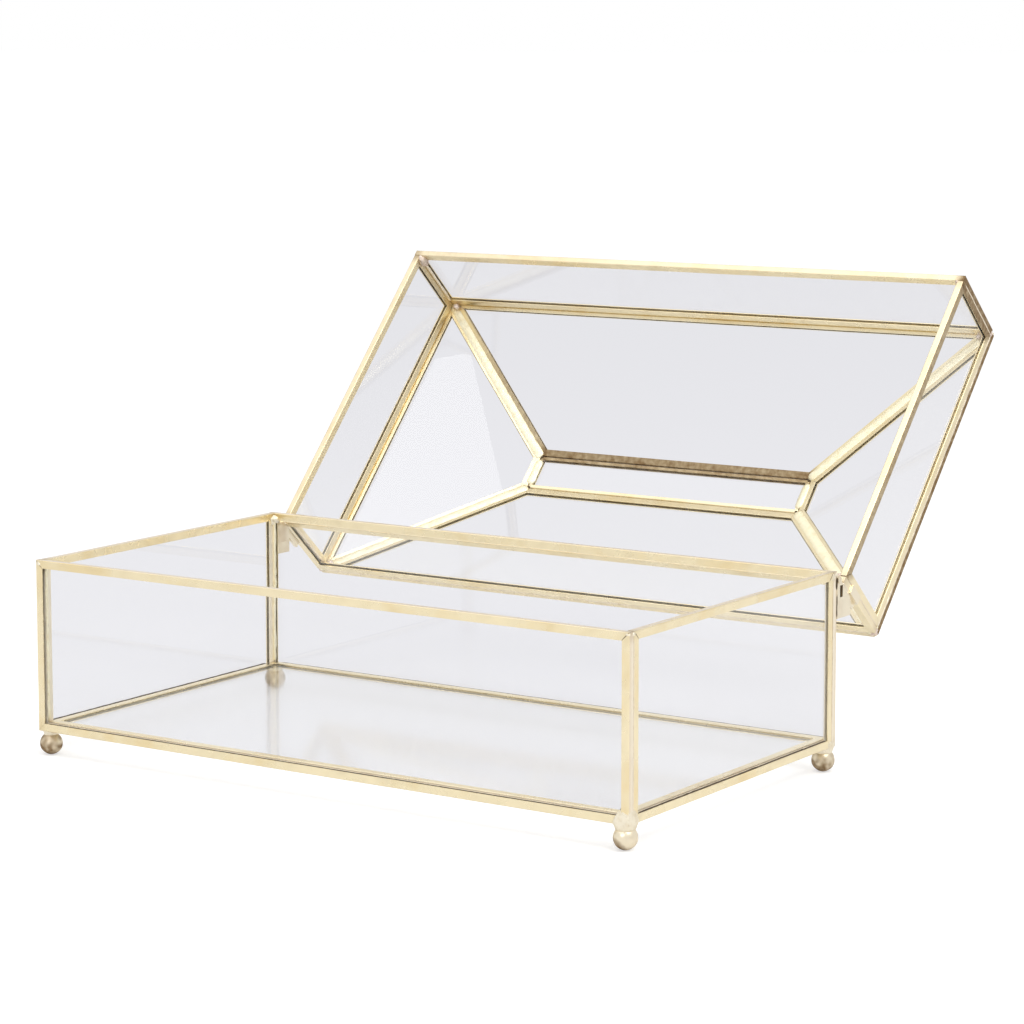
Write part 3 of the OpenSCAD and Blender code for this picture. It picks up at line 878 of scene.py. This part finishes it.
balls, necks = bmesh.new(), bmesh.new()
for k, (sx, sy) in enumerate(CORNERS):
    dented_ball(balls, Vector((sx * foot_x, sy * foot_y, ball_z)), 1.0 + k, BALL_BROWN[sx, sy])
    neck(necks, sx, sy, 5.0 + k)
soldered("dented_balls", balls, BALL, "base", "ball_feet")
soldered("foot_necks", necks, SOLDER, "base", "foot_solder")


# Hinges: the sheet's edges eased, and the solder that holds them

SHEET_ANGLE = 40
SHEET_EASE, RIVET_EASE = 0.12 * MM, 0.15 * MM


def eased(node, piece, offset, body):
    """Stands for a node of small sheet parts, with its sharp edges rounded over."""
    parts = list(solids(node))
    for bm in parts:
        eased_edges(bm, sharp_edges(bm, SHEET_ANGLE), offset, 2)
    obj = joined(piece, parts, HINGE)
    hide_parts(node)
    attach(obj, body)


eased("hinge_brackets", "hinge_bracket_sheets", SHEET_EASE, "base")
eased("hinge_pins", "hinge_rivets", RIVET_EASE, "base")
eased("hinge_straps", "hinge_strap_sheets", SHEET_EASE, "lid")


def upright(bm, s, y, levels, size, seed, swell=0.38):
    """Adds an upright run on one end of the box, between two heights in mm over the hinge's axis."""
    low, high = ((s * half_x, y, AXIS.z + level * MM) for level in levels)
    run(bm, low, high, (s, 0, 0), size, seed, swell=swell)


# Solder along the brackets: where each run and lump is, and its size
BRACKET_Y, BRACKET_LEVELS, BRACKET_RUN = half_y + 0.6 * MM, (-15, -2.5), (0.7 * MM, 0.2 * MM)
BRACKET_LUMP_AT = Vector((half_x - 0.3 * MM, half_y - 0.6 * MM, AXIS.z + 2.6 * MM))
BRACKET_LUMP = (0.7 * MM, 1.0 * MM, 0.8 * MM)
bm = bmesh.new()
for s in SIDES:
    upright(bm, s, BRACKET_Y, BRACKET_LEVELS, BRACKET_RUN, 90 + s)
    lump(bm, (s * BRACKET_LUMP_AT.x, BRACKET_LUMP_AT.y, BRACKET_LUMP_AT.z), BRACKET_LUMP, 95 + s)
soldered("hinge_solder", bm, SOLDER, "base")


def plate(bm, lo, hi):
    """Adds a box between two corners."""
    for v in bmesh.ops.create_cube(bm, size=1.0)["verts"]:
        v.co = Vector([lo[i] + (hi[i] - lo[i]) * (v.co[i] + 0.5) for i in range(3)])


# Painted shade: dark plates inside the bracket's slot, and dark runs between the post and the bracket,
# in the nook at the top and in a thin line below it, where the gaps are in shade
CHEEK = 0.8 * MM
DARK_FROM, DARK_TO = half_x - CHEEK - 0.15 * MM, half_x - CHEEK - 0.02 * MM
SLOT_Y = (AXIS.y + 0.8 * MM, AXIS.y + 3.6 * MM)
SLOT_Z = (AXIS.z - 7.9 * MM, AXIS.z - 2.3 * MM)
NOOK_Y, NOOK_LEVELS, NOOK_RUN = half_y - 0.4 * MM, (-4.1, 1.7), (1.7 * MM, 0.25 * MM)
THIN_Y, THIN_LEVELS, THIN_RUN = half_y + 0.1 * MM, (-16, -6), (0.35 * MM, 0.2 * MM)
bm = bmesh.new()
for s in SIDES:
    x0, x1 = sorted((s * DARK_FROM, s * DARK_TO))
    plate(bm, (x0, SLOT_Y[0], SLOT_Z[0]), (x1, SLOT_Y[1], SLOT_Z[1]))
    upright(bm, s, NOOK_Y, NOOK_LEVELS, NOOK_RUN, 97 + s, swell=0.15)
    upright(bm, s, THIN_Y, THIN_LEVELS, THIN_RUN, 99 + s)
soldered("hinge_painted_shade", bm, FLUX_AND_SHADE, "base")


# Camera, at the photograph's place and angle. Angles in degrees; pitch is up from level.
CAMERA_PLACE = (0.778318, -1.103672, 0.313515)
CAMERA_YAW, CAMERA_PITCH, CAMERA_ROLL = 34.7323, -6.9868, -0.1565
SENSOR, LENS = 36.0, 113.126
SHIFT_X, SHIFT_Y = 0.0542, -0.0905
NEAREST, FARTHEST = 0.05, 100.0


def turned(degrees, axis):
    """A turn about one axis."""
    return Matrix.Rotation(math.radians(degrees), 4, axis)


cam_data = bpy.data.cameras.new("camera")
cam = bpy.data.objects.new("camera", cam_data)
bpy.context.scene.collection.objects.link(cam)
aimed = turned(CAMERA_YAW, "Z") @ turned(90 + CAMERA_PITCH, "X") @ turned(CAMERA_ROLL, "Z")
cam.matrix_world = Matrix.Translation(CAMERA_PLACE) @ aimed
cam_data.sensor_width, cam_data.lens = SENSOR, LENS
cam_data.shift_x, cam_data.shift_y = SHIFT_X, SHIFT_Y
cam_data.clip_start, cam_data.clip_end = NEAREST, FARTHEST
bpy.context.scene.camera = cam


# Floor, world and lamps

# How much light the paper gives back and how much it is lifted: seen plainly, mirrored in the brass and
# the glass, and through the glass
FLOOR_ALBEDO = 0.60
FLOOR_GRAIN = 0.01
CAMERA_LIFT = 0.53
MIRROR_ALBEDO = 0.80
MIRROR_LIFT = 0.14
UNDER_GLASS = rgb(0.24, 0.24, 0.25)
GLASS_TINT = rgb(0.99, 0.99, 1.03)
THROUGH_LIFT = 0.58


def floor_material():
    """Pale paper that shows as white, with the object's shadow, and a shade greyer through the glass."""
    m = bpy.data.materials.new("pale_floor")
    t = Tree(m)
    path = t.add("ShaderNodeLightPath")
    mirrored = t.math("MINIMUM", path.outputs["Glossy Depth"], 1.0)
    through = t.math("MULTIPLY", path.outputs["Is Transmission Ray"], t.math("SUBTRACT", 1.0, mirrored))
    pos = t.add("ShaderNodeTexCoord").outputs["Object"]
    grain = t.noise(pos, 30.0, 2.0)
    pale, paler = FLOOR_ALBEDO - FLOOR_GRAIN, FLOOR_ALBEDO + FLOOR_GRAIN
    paper = t.ramp(grain, (0.3, (pale,) * 3), (0.7, (paler,) * 3))
    colour = t.mix(mirrored, paper, rgb(*[MIRROR_ALBEDO] * 3))
    colour = t.mix(through, colour, UNDER_GLASS)
    d = t.add("ShaderNodeBsdfDiffuse", Color=colour)
    lift = t.math("ADD", t.math("MULTIPLY", path.outputs["Is Camera Ray"], CAMERA_LIFT),
                  t.math("MULTIPLY", mirrored, MIRROR_LIFT))
    lift = t.math("ADD", lift, t.math("MULTIPLY", through, THROUGH_LIFT))
    tint = t.mix(through, rgb(*WHITE), GLASS_TINT)
    e = t.add("ShaderNodeEmission", Color=tint, Strength=lift)
    s = t.add("ShaderNodeAddShader")
    t.put(s, "0", d.outputs[0])
    t.put(s, "1", e.outputs[0])
    t.surface(s.outputs[0])
    return m


bpy.ops.mesh.primitive_plane_add(size=60.0, location=(0.0, 0.0, 0.0))
floor = bpy.context.object
floor.name = "floor"
finish(floor, floor_material())

# The room that the brass and the glass mirror: white, with a dark side and a bright ceiling. Each patch
# has an aim, the angles in degrees where it starts to fade and is gone, and a strength.
ROOM = 0.93
DARK_SIDE, DARK_FADE, DARK_DEPTH = (-0.95, 0.28, 0.16), (10, 22), 0.5
CEILING, CEILING_FADE, CEILING_LIFT = (-0.45, -0.20, 0.87), (12, 30), 0.55
THROUGH_GLASS = rgb(0.79, 0.79, 0.82)
ROOM_LIGHT = rgb(0.80, 0.80, 0.81)

world = bpy.data.worlds.new("studio")
bpy.context.scene.world = world
w = Tree(world)
path = w.add("ShaderNodeLightPath")
direction = w.add("ShaderNodeTexCoord").outputs["Generated"]


def patch_of_room(aim, fade):
    """1 near the direction aim, fading to 0 between two angles from it."""
    n = w.add("ShaderNodeVectorMath", {"operation": "DOT_PRODUCT"})
    w.put(n, "0", direction)
    w.put(n, "1", Vector(aim).normalized())
    full, none = fade
    m = w.add("ShaderNodeMapRange", {"interpolation_type": "SMOOTHSTEP"})
    w.put(m, "Value", n.outputs["Value"])
    w.put(m, "From Min", math.cos(math.radians(none)))
    w.put(m, "From Max", math.cos(math.radians(full)))
    return m.outputs["Result"]


room = w.math("SUBTRACT", ROOM, w.math("MULTIPLY", patch_of_room(DARK_SIDE, DARK_FADE), DARK_DEPTH))
room = w.math("ADD", room, w.math("MULTIPLY", patch_of_room(CEILING, CEILING_FADE), CEILING_LIFT))
grey = w.add("ShaderNodeCombineXYZ", X=room, Y=room, Z=room).outputs[0]
straight = w.math("SUBTRACT", 1.0, w.math("MINIMUM", path.outputs["Glossy Depth"], 1.0))
seen = w.mix(w.math("MULTIPLY", path.outputs["Is Transmission Ray"], straight), grey, THROUGH_GLASS)
seen = w.mix(path.outputs["Is Camera Ray"], seen, rgb(*WHITE))
seen = w.mix(path.outputs["Is Diffuse Ray"], seen, ROOM_LIGHT)
bg = w.add("ShaderNodeBackground", Color=seen, Strength=1.0)
out = w.add("ShaderNodeOutputWorld")
w.t.links.new(bg.outputs[0], out.inputs["Surface"])


def lamp(name, place, aim, size, power, colour=(1.0, 1.0, 1.0)):
    """A rectangular lamp that shows in mirrors but not to the camera or through the glass."""
    data = bpy.data.lights.new(name, "AREA")
    data.shape = "RECTANGLE"
    data.size, data.size_y = size
    data.energy = power
    data.color = colour
    obj = bpy.data.objects.new(name, data)
    bpy.context.scene.collection.objects.link(obj)
    obj.location = place
    obj.rotation_euler = (Vector(aim) - Vector(place)).to_track_quat("-Z", "Y").to_euler()
    obj.visible_camera = False
    obj.visible_transmission = False
    return obj


WARM, COOL = (1.0, 0.985, 0.95), (0.97, 0.98, 1.0)
KEY_POWER, FILL_POWER = 9.0, 4.0
lamp("key_softbox", (0.9, -0.2, 1.5), (0.0, 0.05, 0.08), (0.9, 0.9), KEY_POWER, WARM)
lamp("fill_softbox", (0.2, -1.8, 1.0), (0.0, 0.0, 0.08), (0.8, 0.5), FILL_POWER, COOL)

# The ceiling panel that the roof pane on the left mirrors: a corner of it, and the way its sides run
PANEL_CORNER = Vector((-0.198, -0.242, 1.5))
PANEL_TURN = math.radians(-55.0)
PANEL_SIZE = (0.45, 0.35)
PANEL_POWER = 1.6

panel = lamp("ceiling_panel", PANEL_CORNER, (0.0, 0.0, 0.0), PANEL_SIZE, PANEL_POWER)
panel.rotation_euler = (0.0, 0.0, PANEL_TURN)
across = Vector((math.cos(PANEL_TURN), math.sin(PANEL_TURN), 0.0))
panel.location = PANEL_CORNER + across * PANEL_SIZE[0] / 2 + across.cross(UP) * PANEL_SIZE[1] / 2

bpy.context.scene.view_settings.view_transform = "Standard"
